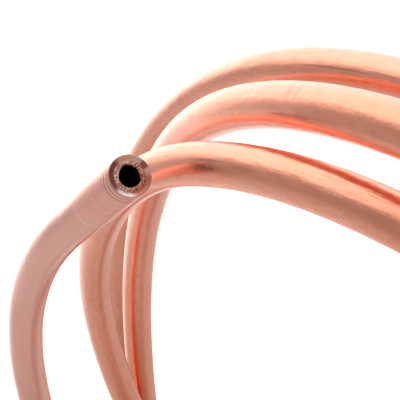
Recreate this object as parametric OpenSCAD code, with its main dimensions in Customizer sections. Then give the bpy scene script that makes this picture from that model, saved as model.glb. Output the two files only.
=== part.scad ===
// Loose coil of soft annealed copper tube, lying on its side.
// The tube is one hollow piece from cut end to cut end. Its centreline is a chain of
// quarter bends with straight cut ends. Each bend has a radius of its own, and is turned a
// little about the tube where it leaves the one before, which is how turns that were
// sprung open by hand lie. The bore runs all the way through.
// Z is up, and the origin is on the floor below the middle of the coil.

/* [Tube] */
// Outside diameter of the tube
tube_od = 6.35; // [6.25:0.05:6.4]
// Thickness of the tube's wall
wall = 0.75; // [0.6:0.05:1]

/* [Coil] */
// Straight run behind the front cut end
front_run = 24.5; // [20:0.1:30]
// Straight run before the rear cut end
rear_run = 40; // [20:1:60]
// Radii of the four bends of the first turn
turn_1_radii = [99.7, 96.3, 99.1, 96.6]; // [95:0.1:101]
// Radii of the four bends of the second turn
turn_2_radii = [125.5, 131.8, 128.2, 131.4]; // [124:0.1:133]
// Radii of the four bends of the third turn
turn_3_radii = [140.6, 125, 128.9, 146.8]; // [124:0.1:148]
// Radii of the three bends of the last turn
turn_4_radii = [141.7, 147.8, 145.2]; // [140:0.1:149]
// Degrees about the tube before each bend of the first turn
turn_1_twists = [0, 3.72, -3.03, -5.08]; // [-6:0.01:4]
// Degrees about the tube before each bend of the second turn
turn_2_twists = [-2.15, 6.47, -6.2, 0.72]; // [-7:0.01:7]
// Degrees about the tube before each bend of the third turn
turn_3_twists = [15.18, -10.34, 3.03, -2.88]; // [-11:0.01:16]
// Degrees about the tube before each bend of the last turn
turn_4_twists = [-6.47, -4.31, 7.08]; // [-7:0.01:8]

/* [Placing] */
// Tilt of the front cut end that lays the coil on its side
lay = [-9.3, -7.5, 92.6]; // [-180:0.1:180]
// Place of the front cut end's face
front_face = [135.41, -42.22, 41.8]; // [-200:0.01:200]

/* [Cut ends] */
// Length of the lip that the cutting wheel rolls inwards
lip_len = 0.9; // [0.6:0.1:1.2]
// Diameter of the mouth inside the rolled lip
mouth_dia = 3.4; // [3:0.1:4.5]
// Diameter of the flat ring at the very end
face_dia = 4.9; // [4.6:0.1:5.5]

/* [Hidden] */
$fn = 48;
tube_r = tube_od / 2;
bore_r = tube_r - wall;
radii = concat(turn_1_radii, turn_2_radii, turn_3_radii, turn_4_radii);
twists = concat(turn_1_twists, turn_2_twists, turn_3_twists, turn_4_twists);
copper = [0.8, 0.5, 0.38];

// Wall of a cut end in section: X is the radius, and Y runs from the face into the tube
module end_section(len) {
    polygon([
        [mouth_dia / 2, 0],
        [face_dia / 2, 0],
        [tube_r, lip_len],
        [tube_r, len],
        [bore_r, len],
        [bore_r, lip_len],
    ]);
}

// Straight cut end: the face is at the origin, and the tube runs along +X
module cut_end(len) {
    rotate([0, 90, 0])
        rotate_extrude()
            end_section(len);
}

// Quarter bend: starts at the origin along +X, round a centre on the +Y side
module quarter_bend(r) {
    translate([0, r, 0])
        rotate([0, 0, -90])
            rotate_extrude(angle = 90)
                translate([r, 0])
                    difference() {
                        circle(r = tube_r);
                        circle(r = bore_r);
                    }
}

// The coil from bend number i to the rear cut end, from the origin along +X
module coil_from(i) {
    if (i < len(radii)) {
        rotate([twists[i], 0, 0]) {
            quarter_bend(radii[i]);
            translate([radii[i], radii[i], 0])
                rotate([0, 0, 90])
                    coil_from(i + 1);
        }
    } else {
        translate([rear_run, 0, 0])
            rotate([0, 0, 180])
                cut_end(rear_run);
    }
}

module copper_tube() {
    color(copper)
        translate(front_face)
            rotate(lay) {
                cut_end(front_run);
                translate([front_run, 0, 0])
                    coil_from(0);
            }
}

copper_tube();
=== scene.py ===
"""Looks of a loose coil of soft copper tube, cut with a wheel cutter at both ends.

The tube is one closed surface: a section with rolled-in lips, carried along the centreline
of straight runs and quarter bends. Lengths are in metres unless a name says mm.
"""
import math

import bpy
import numpy as np
from mathutils import Matrix, Vector


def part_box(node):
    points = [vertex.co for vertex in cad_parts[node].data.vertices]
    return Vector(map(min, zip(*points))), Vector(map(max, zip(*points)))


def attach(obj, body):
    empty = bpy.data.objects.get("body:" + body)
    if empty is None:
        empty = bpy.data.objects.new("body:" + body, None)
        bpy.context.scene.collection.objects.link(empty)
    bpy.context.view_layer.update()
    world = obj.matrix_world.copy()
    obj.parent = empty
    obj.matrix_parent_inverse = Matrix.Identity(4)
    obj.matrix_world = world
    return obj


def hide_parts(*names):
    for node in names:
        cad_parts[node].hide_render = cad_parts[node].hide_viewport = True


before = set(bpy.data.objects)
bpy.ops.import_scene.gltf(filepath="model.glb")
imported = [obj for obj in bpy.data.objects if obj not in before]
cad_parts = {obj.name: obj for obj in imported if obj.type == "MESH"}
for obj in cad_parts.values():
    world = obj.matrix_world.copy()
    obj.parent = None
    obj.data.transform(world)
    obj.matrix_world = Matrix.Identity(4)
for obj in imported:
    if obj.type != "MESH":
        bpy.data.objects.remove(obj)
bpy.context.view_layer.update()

MM = 0.001

# ---------------------------------------------------------------- sizes of the tube and coil
TUBE_R = 3.175 * MM
BORE_R = 2.425 * MM
FRONT_RUN = 24.5 * MM
REAR_RUN = 40.0 * MM
TURN_RADII = [
    [99.7, 96.3, 99.1, 96.6],
    [125.5, 131.8, 128.2, 131.4],
    [140.6, 125.0, 128.9, 146.8],
    [141.7, 147.8, 145.2],
]
TURN_TWISTS = [
    [0.0, 3.72, -3.03, -5.08],
    [-2.15, 6.47, -6.20, 0.72],
    [15.18, -10.34, 3.03, -2.88],
    [-6.47, -4.31, 7.08],
]
LAY = [-9.3, -7.5, 92.6]

# Cut end in section, in mm: distance behind the face, and radius
LIP_MM = [
    (4.2, 3.175), (2.9, 3.175), (2.2, 3.14), (0.6, 3.11), (0.14, 3.10), (0.02, 3.05), (0.0, 2.97),
    (0.07, 2.88), (0.36, 2.40), (0.36, 2.31), (0.17, 2.16), (0.10, 1.80), (0.20, 1.60), (0.45, 1.56),
    (1.0, 2.425), (2.4, 2.425),
]
LIP_END = LIP_MM[0][0] * MM
BORE_START = LIP_MM[-1][0] * MM

# ---------------------------------------------------------------- how finely it is made
SIDES = 96
LIP_RINGS = {"front": 128, "rear": 72}
WALL_RINGS = 610
BORE_RINGS = 215

# ---------------------------------------------------------------- marks of the cutter
# The front cut is a little off square: how many degrees, the side that stands furthest out, in
# degrees round the tube, and how far behind the face the slant dies away
CUT_SLANT = 6.5
CUT_PROUD_SIDE = 276.0
SLANT_FADE = 6 * MM

# On the face: how far back the crumbs go, radii of the mouth, the burr's crumbs and the lip's
# sloping ring, how far the mouth's ragged edge reaches, and the side where the burr is redder
CRUMB_FADE = 0.5 * MM
MOUTH_R = 1.57 * MM
MOUTH_AT = 0.3 * MM
MOUTH_REACH = (0.3 * MM, 0.16 * MM)
CRUMB_RING = (1.60 * MM, 2.30 * MM)
BURR_MIDDLE = 1.95 * MM
BURR_REACH = 0.36 * MM
DISH_INNER = 2.33 * MM
DISH_OUTER = 2.98 * MM
TORN_SIDE = 330.0

# Behind the face: how deep its colours go in, the rings that the wheel rolled, the cleaner band,
# where its peach part starts, and the length over which a paler colour fades out
FACE_DEPTH = 0.55 * MM
ROLLED_PITCH = 0.85 * MM
ROLLED_END = 1.95 * MM
CLEAN_BAND = 14.7 * MM
PEACH_FROM = 11.5 * MM
PALE_FADE = (0.06, 0.26)

# ---------------------------------------------------------------- colours, stains, and painted shade, reflections and highlights
DRAWN_TONES = (0.98, 0.405, 0.272, 1), (0.93, 0.37, 0.232, 1)
PALE_TONE = (0.93, 0.51, 0.42, 1)
CLEAN_TONE = (0.99, 0.49, 0.395, 1)
PEACH_TONE = (1.0, 0.59, 0.455, 1)
TURNED_TONE = (0.85, 0.38, 0.29, 1)
BRINK_TONE = (0.72, 0.36, 0.29, 1)
# Painted shade in the hollows of the rolled rings, and painted highlight on the ridges between them
ROLLED_PAINTED_SHADE = (0.52, 0.20, 0.13, 1)
ROLLED_PAINTED_HIGHLIGHT = (1.0, 0.70, 0.55, 1)
LIP_TONES = (0.84, 0.46, 0.38, 1), (0.98, 0.60, 0.51, 1)
# The burr's crumbs: painted shade between them and painted glints on them, over their own colour
BURR_SHADE_AND_GLINTS = (0.34, 0.10, 0.06, 1), (1.0, 0.63, 0.52, 1)
TORN_TINT = (0.85, 0.52, 0.40, 1)
# The bore is painted near black, as the shade inside the tube
BORE_PAINTED_SHADE = (0.012, 0.008, 0.007, 1)

# Painted reflections on the lip's sloping ring, and a pale painted highlight, each at a side: middle
# and half width in degrees round the tube, and colour
LIP_PAINTED_LIGHT = [
    (343, 40, (0.62, 0.21, 0.13, 1)),
    (270, 11, (0.40, 0.14, 0.08, 1)),
    (130, 47, (0.25, 0.11, 0.09, 1)),
    (56, 22, (1.0, 0.80, 0.76, 1)),
]

# Stains and rubbed streaks on the outside: place along the tube and half length in mm, place and
# half width round it in degrees, colour, strength
RUBBED = [
    (1407.7, 0.9, 148, 27, (0.85, 0.27, 0.18, 1), 0.75),
    (1405.6, 0.5, 148, 25, (0.85, 0.27, 0.18, 1), 0.75),
    (1408.6, 3.0, 97, 4.5, (0.52, 0.20, 0.13, 1), 0.70),
    (1423.0, 5.0, 99, 5, (0.98, 0.56, 0.45, 1), 0.40),
    (2246.0, 11.0, 113, 4, (0.52, 0.20, 0.14, 1), 0.65),
    (2234.0, 6.0, 120, 3, (0.55, 0.22, 0.15, 1), 0.55),
    (606.0, 5.5, 131, 4, (0.50, 0.19, 0.13, 1), 0.65),
    (597.0, 3.5, 124, 7, (0.60, 0.24, 0.17, 1), 0.45),
    (590.4, 0.3, 120, 8, (1.0, 0.52, 0.39, 1), 0.40),
    (62.0, 9.0, 100, 30, (0.84, 0.44, 0.35, 1), 0.45),
    (92.0, 14.0, 80, 24, (0.88, 0.42, 0.32, 1), 0.50),
]


def rotation_about_x(degrees):
    """Rotation matrix about X: Y turns to Z by the angle."""
    c, s = math.cos(math.radians(degrees)), math.sin(math.radians(degrees))
    return np.array([[1, 0, 0], [0, c, -s], [0, s, c]])


def lay_rotation():
    """Rotation that lays the coil on its side: about X, then Y, then Z."""
    turn = [Matrix.Rotation(math.radians(a), 3, axis) for a, axis in zip(LAY, "XYZ")]
    return np.array(turn[2] @ turn[1] @ turn[0])


def centreline_pieces():
    """Straight runs and quarter bends in order, each with its start, its length, its radius (0 if
    straight), its frame (columns: along, towards the bend's centre, across), and the sum of the
    twists so far. The frame turns about the tube by the twist before a bend, and by 90 degrees
    in the bend's plane along it."""
    pieces = []
    at, axes, wound = np.zeros(3), np.eye(3), 0.0
    pieces.append((at, FRONT_RUN, 0.0, axes, wound))
    at = at + FRONT_RUN * axes[:, 0]
    for radius_mm, twist in zip(sum(TURN_RADII, []), sum(TURN_TWISTS, [])):
        radius = radius_mm * MM
        axes = axes @ rotation_about_x(twist)
        wound += math.radians(twist)
        pieces.append((at, radius * math.pi / 2, radius, axes, wound))
        at = at + radius * (axes[:, 0] + axes[:, 1])
        axes = np.stack([axes[:, 1], -axes[:, 0], axes[:, 2]], 1)
    pieces.append((at, REAR_RUN, 0.0, axes, wound))
    return pieces


PIECES = centreline_pieces()
LENGTHS = np.array([p[1] for p in PIECES])
STARTS = np.concatenate([[0.0], np.cumsum(LENGTHS)[:-1]])
LENGTH = float(LENGTHS.sum())


def centreline(along):
    """Point and frame at each distance along the tube. On a bend of radius R, an angle q = distance
    / R carries the point R sin q forwards and R (1 - cos q) sideways, and turns the frame by q.
    The two cross directions are turned back by the twists so far, so they never jump."""
    which = np.clip(np.searchsorted(STARTS, along, side="right") - 1, 0, len(PIECES) - 1)
    local = along - STARTS[which]
    start = np.array([p[0] for p in PIECES])[which]
    radius = np.array([p[2] for p in PIECES])[which]
    axes = np.array([p[3] for p in PIECES])[which]
    wound = np.array([p[4] for p in PIECES])[which]
    bent = radius > 0
    q = np.where(bent, local / np.where(bent, radius, 1.0), 0.0)[:, None]
    forward = np.where(bent[:, None], radius[:, None] * np.sin(q), local[:, None])
    sideways = radius[:, None] * (1 - np.cos(q))
    ahead, inward, across = axes[:, :, 0], axes[:, :, 1], axes[:, :, 2]
    point = start + forward * ahead + sideways * inward
    along_dir = np.cos(q) * ahead + np.sin(q) * inward
    inward_dir = np.cos(q) * inward - np.sin(q) * ahead
    c, s = np.cos(wound)[:, None], np.sin(wound)[:, None]
    first = c * inward_dir - s * across
    second = s * inward_dir + c * across
    return point, along_dir, first, second


# ---------------------------------------------------------------- shape of the wall
def resampled(points, count):
    """Points evenly spaced along a polyline, its corners rounded by two passes of a running mean."""
    points = np.array(points, float)
    steps = np.linalg.norm(np.diff(points, axis=0), axis=1)
    run = np.concatenate([[0.0], np.cumsum(steps)])
    at = np.linspace(0.0, run[-1], count)
    out = np.stack([np.interp(at, run, points[:, k]) for k in range(2)], 1)
    for _ in range(2):
        out[1:-1] = (out[:-2] + out[1:-1] + out[2:]) / 3
    return out


def section():
    """Distance along the tube and radius of every ring, round the wall's closed section: the front
    lip from outside to inside, the bore, the rear lip from inside to outside, then the outside."""
    front = resampled(LIP_MM, LIP_RINGS["front"]) * MM
    rear = resampled(LIP_MM, LIP_RINGS["rear"])[::-1] * MM
    rear[:, 0] = LENGTH - rear[:, 0]
    bore_at = np.linspace(BORE_START, LENGTH - BORE_START, BORE_RINGS + 2)[1:-1]
    wall_at = np.linspace(LENGTH - LIP_END, LIP_END, WALL_RINGS + 2)[1:-1]
    bore = np.stack([bore_at, np.full(BORE_RINGS, BORE_R)], 1)
    wall = np.stack([wall_at, np.full(WALL_RINGS, TUBE_R)], 1)
    return np.concatenate([front, bore, rear, wall])


def bumps(x, y, centres, widths, heights, period):
    """Sum of round bumps on a sheet that wraps round in y: each is height * exp(-(d / width)^2)."""
    total = np.zeros(np.broadcast(x, y).shape)
    for (cx, cy), (wx, wy), height in zip(centres, widths, heights):
        across = (y - cy + period / 2) % period - period / 2
        total += height * np.exp(-(((x - cx) / wx) ** 2) - (across / wy) ** 2)
    return total


def dents(along, angle):
    """Shallow hollows that handling leaves on the outside of the tube, in metres of depth."""
    rng = np.random.default_rng(7)
    count = 150
    centres = np.stack([rng.uniform(0.03, LENGTH - 0.03, count), rng.uniform(0, 2 * np.pi, count)], 1)
    widths = np.stack([rng.uniform(5, 16, count) * MM, rng.uniform(0.35, 0.9, count)], 1)
    return bumps(along, angle, centres, widths, rng.uniform(0.02, 0.07, count) * MM, 2 * np.pi)


def crumbs(radius, angle, seed):
    """Height of the burr that the cutter leaves on the face: small crumbs scattered round a ring."""
    rng = np.random.default_rng(seed)
    count = 190
    ring = rng.uniform(CRUMB_RING[0], CRUMB_RING[1], count)
    centres = np.stack([ring, rng.uniform(0, 2 * np.pi, count)], 1)
    size = rng.uniform(0.045, 0.12, count) * MM
    widths = np.stack([size, size / ring * rng.uniform(0.7, 1.8, count)], 1)
    return bumps(radius, angle, centres, widths, rng.uniform(-0.10, 0.11, count) * MM, 2 * np.pi)


def mouth_edge(angle, seed):
    """How far the ragged edge of the mouth is off its mean radius: a few sine waves."""
    rng = np.random.default_rng(seed)
    waves = [(k, rng.uniform(0, 2 * np.pi), 0.10 / k**0.9) for k in (2, 3, 5, 8, 11, 17, 23)]
    return sum(size * np.sin(k * angle + start) for k, start, size in waves) * MM


def tube_grid():
    """Distance, radius and angle of every vertex of the wall, with its relief, and the distance and
    radius that it had before. The crumbs stand on the face, and fade out as exp(-(d / reach)^4)
    away from the burr's middle. The front cut slants: a point moves along the tube by the slant's
    tangent times its height across the tube, less and less as exp(-(d / fade)^4) behind the face."""
    rings = section()
    angle = np.arange(SIDES) * 2 * np.pi / SIDES
    along = np.repeat(rings[:, :1], SIDES, 1)
    radius = np.repeat(rings[:, 1:], SIDES, 1)
    angle = np.repeat(angle[None], len(rings), 0)
    flat = along, radius

    outside = radius > TUBE_R - 0.01 * MM
    for behind, inwards, seed in ((along, 1, 11), (LENGTH - along, -1, 12)):
        on_face = np.exp(-((behind / CRUMB_FADE) ** 4))
        on_burr = np.exp(-(((radius - BURR_MIDDLE) / BURR_REACH) ** 4))
        deep = (behind - MOUTH_AT) / MOUTH_REACH[0]
        wide = (radius - MOUTH_R) / MOUTH_REACH[1]
        on_mouth = np.exp(-(deep**2) - wide**2)
        along = along - inwards * crumbs(radius, angle, seed) * (on_face * on_burr)
        radius = radius + mouth_edge(angle, seed) * on_mouth
    radius = radius - dents(along, angle) * outside

    height = -radius * np.cos(angle - math.radians(CUT_PROUD_SIDE))
    fade = np.exp(-((along / SLANT_FADE) ** 4))
    along = along + math.tan(math.radians(CUT_SLANT)) * height * fade
    return along, radius, angle, flat


def swept_wall(name):
    """Mesh of the wall: point = centreline + radius * (cos a * first + sin a * second), on a grid that
    closes both round the tube and round its section. Attribute "drawn" holds each vertex's place
    on the straight tube, with X along it, as it was before it was coiled."""
    along, radius, angle, (flat_along, flat_radius) = tube_grid()
    rings = len(along)
    held = np.clip(along, 0, LENGTH)
    point, ahead, first, second = centreline(held.ravel())
    over = (along - held).ravel()[:, None]
    out = np.cos(angle).ravel()[:, None] * first + np.sin(angle).ravel()[:, None] * second
    places = (point + over * ahead + radius.ravel()[:, None] * out) @ lay_rotation().T

    ring, side = np.meshgrid(np.arange(rings), np.arange(SIDES), indexing="ij")
    here, onwards = ring * SIDES, (ring + 1) % rings * SIDES
    next_side = (side + 1) % SIDES
    corners = [here + side, onwards + side, onwards + next_side, here + next_side]
    faces = np.stack(corners, -1).reshape(-1, 4)
    mesh = bpy.data.meshes.new(name)
    mesh.from_pydata(places.tolist(), [], faces.tolist())
    mesh.polygons.foreach_set("use_smooth", np.ones(len(faces), bool))
    flat = [flat_along, flat_radius * np.cos(angle), flat_radius * np.sin(angle)]
    drawn = mesh.attributes.new("drawn", "FLOAT_VECTOR", "POINT")
    drawn.data.foreach_set("vector", np.stack(flat, -1).astype(np.float32).ravel())
    mesh.update()
    return mesh


# ---------------------------------------------------------------- shader maths
class Val:
    """A socket of a node tree. Arithmetic on it adds the Math nodes."""

    def __init__(self, shader, socket):
        self.shader = shader
        self.socket = socket

    def math(self, operation, other=None, swapped=False):
        """A Math node on this value and, if given, another; swapped puts the other one first."""
        values = [self] if other is None else [self, other]
        inputs = dict(enumerate(reversed(values) if swapped else values))
        return self.shader.node("ShaderNodeMath", {"operation": operation}, inputs)

    def __add__(self, other):
        return self.math("ADD", other)

    def __sub__(self, other):
        return self.math("SUBTRACT", other)

    def __rsub__(self, other):
        return self.math("SUBTRACT", other, swapped=True)

    def __mul__(self, other):
        return self.math("MULTIPLY", other)

    def __truediv__(self, other):
        return self.math("DIVIDE", other)

    def __pow__(self, other):
        return self.math("POWER", other)

    __radd__ = __add__
    __rmul__ = __mul__


class Shader:
    """The nodes of a material or of the world, around the shader node that it starts with."""

    def __init__(self, owner, shader_node="Principled BSDF"):
        self.owner = owner
        owner.use_nodes = True
        self.tree = owner.node_tree
        self.surface = self.tree.nodes[shader_node]

    def node(self, kind, settings=None, inputs=None, out=0):
        """Any node: its settings are set first, then the values or links of its sockets."""
        made = self.tree.nodes.new(kind)
        for key, value in (settings or {}).items():
            setattr(made, key, value)
        for key, value in (inputs or {}).items():
            self.plug(made.inputs[key], value)
        return Val(self, made.outputs[out])

    def plug(self, socket, value):
        """Links a value to a socket, or sets a constant on it."""
        if isinstance(value, Val):
            self.tree.links.new(value.socket, socket)
        else:
            socket.default_value = value

    def step(self, value, low, high, before=0.0, after=1.0):
        """0 below low, 1 above high, and a smooth rise between; or other levels than 0 and 1."""
        settings = {"interpolation_type": "SMOOTHSTEP"}
        inputs = {"Value": value, "From Min": low, "From Max": high, "To Min": before, "To Max": after}
        return self.node("ShaderNodeMapRange", settings, inputs)

    def split(self, vector):
        """The three numbers of a vector."""
        parts = self.node("ShaderNodeSeparateXYZ", None, {"Vector": vector}).socket.node
        return [Val(self, out) for out in parts.outputs]

    def mix(self, mask, a, b, blend="MIX"):
        """Colour a where the mask is 0 and b where it is 1."""
        settings = {"data_type": "RGBA", "blend_type": blend}
        return self.node("ShaderNodeMix", settings, {0: mask, 6: a, 7: b}, out=2)

    def noise(self, where, size, detail=2.0, rough=0.5):
        """Soft noise from 0 to 1 with patches of about that size, in metres."""
        inputs = {"Vector": where, "Scale": 1 / size, "Detail": detail, "Roughness": rough}
        return self.node("ShaderNodeTexNoise", None, inputs)

    def stretched(self, where, factors, shift=(0, 0, 0)):
        """Coordinates scaled by a factor a side, then shifted."""
        inputs = {"Vector": where, "Scale": factors, "Location": shift}
        return self.node("ShaderNodeMapping", None, inputs)

    def bump(self, height, distance, before=None):
        """Normal of a relief that stands up to the distance, added to the one before."""
        inputs = {"Height": height, "Strength": 1.0, "Distance": distance}
        if before is not None:
            inputs["Normal"] = before
        return self.node("ShaderNodeBump", None, inputs)

    def finish(self, **sockets):
        """Plugs the shader node's sockets, and gives back the material or the world."""
        for name, value in sockets.items():
            self.plug(self.surface.inputs[name.replace("_", " ")], value)
        return self.owner


# ---------------------------------------------------------------- copper
def towards(turned, degrees):
    """Cosine of the angle round the tube from a side: 1 at that side and -1 opposite it."""
    return (turned - math.radians(degrees)).math("COSINE")


def wall_tone(sh, blotch, fine, streak, grain):
    """Colour of the tube's wall: blotches, darker clouds, draw marks and grain. A layer whose first
    limit is the higher one shows where its pattern is low."""
    tone = sh.mix(sh.step(blotch, 0.3, 0.7), *DRAWN_TONES)
    layers = (
        (fine, 0.42, 0.75, 0.45, (0.86, 0.325, 0.205, 1)),
        (streak, 0.50, 0.80, 0.35, (0.97, 0.52, 0.39, 1)),
        (streak, 0.42, 0.25, 0.40, (0.82, 0.30, 0.19, 1)),
        (grain, 0.50, 0.66, 0.40, (0.80, 0.30, 0.19, 1)),
        (grain, 0.46, 0.30, 0.30, (0.98, 0.55, 0.43, 1)),
    )
    for pattern, unseen, full, strength, shade in layers:
        tone = sh.mix(sh.step(pattern, unseen, full) * strength, tone, shade)
    return tone


def end_bands(sh, tone, along, behind, clean, rings):
    """Colour with the paler length behind the front end and, at both ends, the cleaner band, its
    peach part, its turning rings and the line where it stops."""
    peach = sh.step(behind, PEACH_FROM, PEACH_FROM + 0.8 * MM)
    brink = (behind - CLEAN_BAND).math("ABSOLUTE")
    tone = sh.mix((1 - sh.step(along, *PALE_FADE)) * 0.75, tone, PALE_TONE)
    tone = sh.mix(clean * 0.8, tone, CLEAN_TONE)
    tone = sh.mix(clean * peach * 0.7, tone, PEACH_TONE)
    tone = sh.mix(clean * sh.step(rings, 0.48, 0.68) * 0.5, tone, TURNED_TONE)
    return sh.mix((1 - sh.step(brink, 0.05 * MM, 0.35 * MM)) * 0.5, tone, BRINK_TONE)


def rubbed_spots(sh, tone, along, turned, grain):
    """Colour with the stains and streaks: each is an ellipse on the unrolled tube, its edge broken
    up by the grain."""
    for middle, reach, side, spread, shade, strength in RUBBED:
        far = (along - middle * MM) / (reach * MM)
        wide = (turned - math.radians(side)) / math.radians(spread)
        spot = 1 - sh.step(far * far + wide * wide + 0.8 * grain, 0.55, 1.6)
        tone = sh.mix(spot * strength, tone, shade)
    return tone


def lip_with_painted_light(sh, fine, turned):
    """Colour of the lip's sloping ring, with painted reflections and a painted highlight at its sides.
    """
    tone = sh.mix(sh.step(fine, 0.35, 0.7), *LIP_TONES)
    for middle, half_width, shade in LIP_PAINTED_LIGHT:
        outer, inner = (math.cos(math.radians(half_width * share)) for share in (1.3, 0.7))
        tone = sh.mix(sh.step(towards(turned, middle), outer, inner), tone, shade)
    return tone


def burr_with_glints(sh, speck, turned):
    """Colour of the burr: its torn metal with painted glints on the crumbs and painted shade in the
    gaps between them, redder at one side.
    """
    tone = sh.mix(sh.step(speck, 0.45, 0.57), *BURR_SHADE_AND_GLINTS)
    return sh.mix(sh.step(towards(turned, TORN_SIDE), 0.0, 0.8), tone, TORN_TINT, "MULTIPLY")


def copper():
    """Drawn copper: satin, with faint lengthwise draw marks, blotches, scuffs and stains. Behind the
    cut ends are rings that the cutter rolled, with painted shade in their hollows and a painted
    highlight between them, and a cleaner band with turning rings; a paler length follows the front
    one. The lip has painted reflections and a painted highlight, the burr painted glints and shade
    over its own colour, and the bore is painted dark as shade."""
    sh = Shader(bpy.data.materials.new("copper"))
    place = sh.node("ShaderNodeTexCoord", out="Object")
    drawn = sh.node("ShaderNodeAttribute", {"attribute_name": "drawn"}, out="Vector")
    along, first, second = sh.split(drawn)
    radius = (first * first + second * second) ** 0.5
    turned = second.math("ARCTAN2", first)
    behind = along.math("MINIMUM", LENGTH - along)

    # patterns
    blotch = sh.noise(place, 0.028, 3.0, 0.55)
    fine = sh.noise(place, 0.006, 4.0, 0.6)
    streak = sh.noise(sh.stretched(drawn, (0.03, 1, 1)), 0.0011, 3.0, 0.6)
    grain = sh.noise(sh.stretched(drawn, (0.3, 1, 1), (5, 1, 4)), 0.0009, 4.0, 0.7)
    rings = sh.noise(sh.stretched(drawn, (1, 0.04, 0.04)), 0.0007, 2.0, 0.7)
    speck = sh.noise(drawn, 0.00027, 3.0, 0.7)
    scuff = sh.noise(sh.stretched(drawn, (0.05, 1, 1), (3, 1, 2)), 0.0006, 2.0, 0.5)
    sway = sh.noise(sh.stretched(drawn, (0.25, 1, 1)), 0.005, 1.0, 0.4)
    mottle = sh.noise(sh.stretched(drawn, (0.35, 1, 1), (1, 2, 3)), 0.0018, 4.0, 0.65)
    wave = 0.5 + 0.5 * (behind * (2 * math.pi / ROLLED_PITCH)).math("SINE")

    # places on the tube: 1 inside and 0 outside
    clean = 1 - sh.step(behind, CLEAN_BAND - 0.15 * MM, CLEAN_BAND + 0.15 * MM)
    unrolled = sh.step(behind, ROLLED_END, ROLLED_END + 0.5 * MM)
    rolled = sh.step(behind, 0.1 * MM, 0.5 * MM) * (1 - unrolled)
    end = 1 - sh.step(behind, FACE_DEPTH, FACE_DEPTH + 0.05 * MM)
    past_burr = sh.step(radius, DISH_INNER - 0.04 * MM, DISH_INNER)
    face = end * (1 - past_burr)
    dish = end * past_burr * (1 - sh.step(radius, DISH_OUTER, DISH_OUTER + 0.06 * MM))
    inside = 1 - sh.step(radius, BORE_R + 0.025 * MM, BORE_R + 0.045 * MM)
    bore = sh.step(behind, 0.34 * MM, 0.50 * MM) * inside

    tone = wall_tone(sh, blotch, fine, streak, grain)
    tone = end_bands(sh, tone, along, behind, clean, rings)
    # painted shade in the rolled rings' hollows, then painted highlight between them
    tone = sh.mix(rolled * wave * 0.8, tone, ROLLED_PAINTED_SHADE)
    tone = sh.mix(rolled * (1 - wave) * 0.6, tone, ROLLED_PAINTED_HIGHLIGHT)
    tone = rubbed_spots(sh, tone, along, turned, grain)
    # the lip's sloping ring, with painted reflections and a painted highlight at its sides
    tone = sh.mix(dish, tone, lip_with_painted_light(sh, fine, turned))
    # the burr, with painted glints and painted shade between its crumbs
    tone = sh.mix(face, tone, burr_with_glints(sh, speck, turned))
    # the bore painted near black as shade
    tone = sh.mix(bore, tone, BORE_PAINTED_SHADE)

    # relief: each pattern and how high it stands
    scratch = sh.step(scuff, 0.66, 0.74)
    reliefs = (
        (sway, 0.30 * MM),
        (mottle * (1 - end), 0.09 * MM),
        (wave * rolled, 0.04 * MM),
        (streak + 0.6 * scratch, 0.03 * MM),
        (rings * clean, 0.03 * MM),
        (speck * face, 0.12 * MM),
    )
    normal = None
    for height, depth in reliefs:
        normal = sh.bump(height, depth, normal)

    rough = 0.21 + 0.08 * blotch + 0.06 * streak + 0.10 * clean - 0.02 * dish + bore * 0.5
    metal = 1 - 0.9 * bore - 0.5 * face - 0.25 * dish
    return sh.finish(Base_Color=tone, Roughness=rough, Metallic=metal, Normal=normal)


# ---------------------------------------------------------------- the piece
def copper_coil():
    """The whole tube, moved so that the middle of its box is the middle of the CAD node's."""
    mesh = swept_wall("copper_tube_wall")
    tube = bpy.data.objects.new("copper_coil", mesh)
    bpy.context.scene.collection.objects.link(tube)
    places = np.empty(len(mesh.vertices) * 3, np.float32)
    mesh.vertices.foreach_get("co", places)
    places = places.reshape(-1, 3)
    low, high = (np.array(corner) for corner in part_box("copper_tube"))
    middle_now = (places.min(0) + places.max(0)) / 2
    places += ((low + high) / 2 - middle_now).astype(np.float32)
    mesh.vertices.foreach_set("co", places.ravel())
    mesh.update()
    mesh.materials.append(copper())
    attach(tube, "root")
    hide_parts("copper_tube")
    return tube


coil = copper_coil()


# ---------------------------------------------------------------- floor, light and camera
FLOOR_GLOW = 1.3
FLOOR_REACH = 6.0

# Where the camera stands and how it is held
CAMERA_AT = (0.12780, -0.19152, 0.10120)
CAMERA_FORWARD = (-0.0002, 0.9134, -0.4071)
CAMERA_UP = (0.8641, -0.2047, -0.4598)
SENSOR_MM = 36.0
FOCAL_IN_WIDTHS = 1180.2 / 400

# The tent round the object. Ways are given as the angle round the lens, from the camera's right
# towards its top, and the angle off the way back to the camera, in degrees. Edges are the dot
# products between which a light rises, and levels or extras the strengths that it rises to.
ROOM_WAY, ROOM_EDGE, ROOM_LEVELS = (0, 180), (-0.10, 0.40), (0.40, 0.63)
WALL_WAY, WALL_EDGE, WALL_EXTRA = (190, 165), (0.80, 0.98), 0.60
LAMP_WAY, LAMP_EDGE, LAMP_EXTRA = (118, 124), (0.15, 1.00), 1.15
FLAG_WAY, FLAG_EDGE = (212, 90), (0.34, 0.62)
DARK_WAY, DARK_EDGE, DARK_EXTRA = (175, 120), (0.85, 0.97), -0.14


def floor():
    """A wide plain white floor that glows, as a light table does, so no hard shadow shows. It is left
    out of reflections, so that the metal shows the tent's soft levels."""
    mesh = bpy.data.meshes.new("floor")
    corners = [(x * FLOOR_REACH, y * FLOOR_REACH, 0) for x, y in ((-1, -1), (1, -1), (1, 1), (-1, 1))]
    mesh.from_pydata(corners, [], [(0, 1, 2, 3)])
    plane = bpy.data.objects.new("floor", mesh)
    bpy.context.scene.collection.objects.link(plane)
    plane.visible_glossy = False
    sh = Shader(bpy.data.materials.new("floor_white"))
    sh.surface.inputs["Emission Strength"].default_value = FLOOR_GLOW
    white, pale = (1, 1, 1, 1), (0.9, 0.9, 0.9, 1)
    mesh.materials.append(sh.finish(Base_Color=pale, Roughness=0.9, Emission_Color=white))


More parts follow.
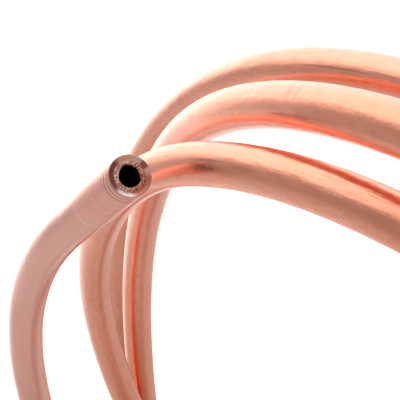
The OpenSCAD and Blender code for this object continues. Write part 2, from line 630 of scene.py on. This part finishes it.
def lens_frame():
    """The camera's right, up and forward."""
    forward = Vector(CAMERA_FORWARD).normalized()
    right = forward.cross(Vector(CAMERA_UP)).normalized()
    return right, right.cross(forward), forward


def way_from(angles):
    """Direction at an angle round the lens and an angle off the way back to the camera."""
    turned, off = (math.radians(a) for a in angles)
    right, up, forward = lens_frame()
    return math.sin(off) * (math.cos(turned) * right + math.sin(turned) * up) - math.cos(off) * forward


def studio_light():
    """A white tent: darker where the camera stands, a white wall behind the object, a wide soft
    lamp cut off on one side by a flag, and the flag's own dark side. Each is a smooth rise with
    the dot product of the direction and its own."""
    sh = Shader(bpy.data.worlds.new("tent"), "Background")
    way = sh.node("ShaderNodeTexCoord", out="Generated")

    def rise(angles, edge, before, after):
        inputs = {0: way, 1: way_from(angles)}
        dot = sh.node("ShaderNodeVectorMath", {"operation": "DOT_PRODUCT"}, inputs, out="Value")
        return sh.step(dot, *edge, before, after)

    room = rise(ROOM_WAY, ROOM_EDGE, *ROOM_LEVELS)
    wall = rise(WALL_WAY, WALL_EDGE, 0, WALL_EXTRA)
    lamp = rise(LAMP_WAY, LAMP_EDGE, 0, LAMP_EXTRA)
    unflagged = rise(FLAG_WAY, FLAG_EDGE, 1, 0)
    dark = rise(DARK_WAY, DARK_EDGE, 0, DARK_EXTRA)
    strength = room + lamp * unflagged + wall + dark
    bpy.context.scene.world = sh.finish(Color=(1, 1, 1, 1), Strength=strength)


def camera():
    """Looks along the given way with the given upward side, as a turned hand-held close-up."""
    right, up, forward = lens_frame()
    data = bpy.data.cameras.new("camera")
    data.sensor_width = SENSOR_MM
    data.lens = SENSOR_MM * FOCAL_IN_WIDTHS
    data.clip_start = 0.01
    seen = bpy.data.objects.new("camera", data)
    turn = Matrix((right, up, -forward)).transposed().to_4x4()
    seen.matrix_world = Matrix.Translation(Vector(CAMERA_AT)) @ turn
    bpy.context.scene.collection.objects.link(seen)
    bpy.context.scene.camera = seen


floor()
studio_light()
camera()
bpy.context.scene.view_settings.view_transform = "Standard"
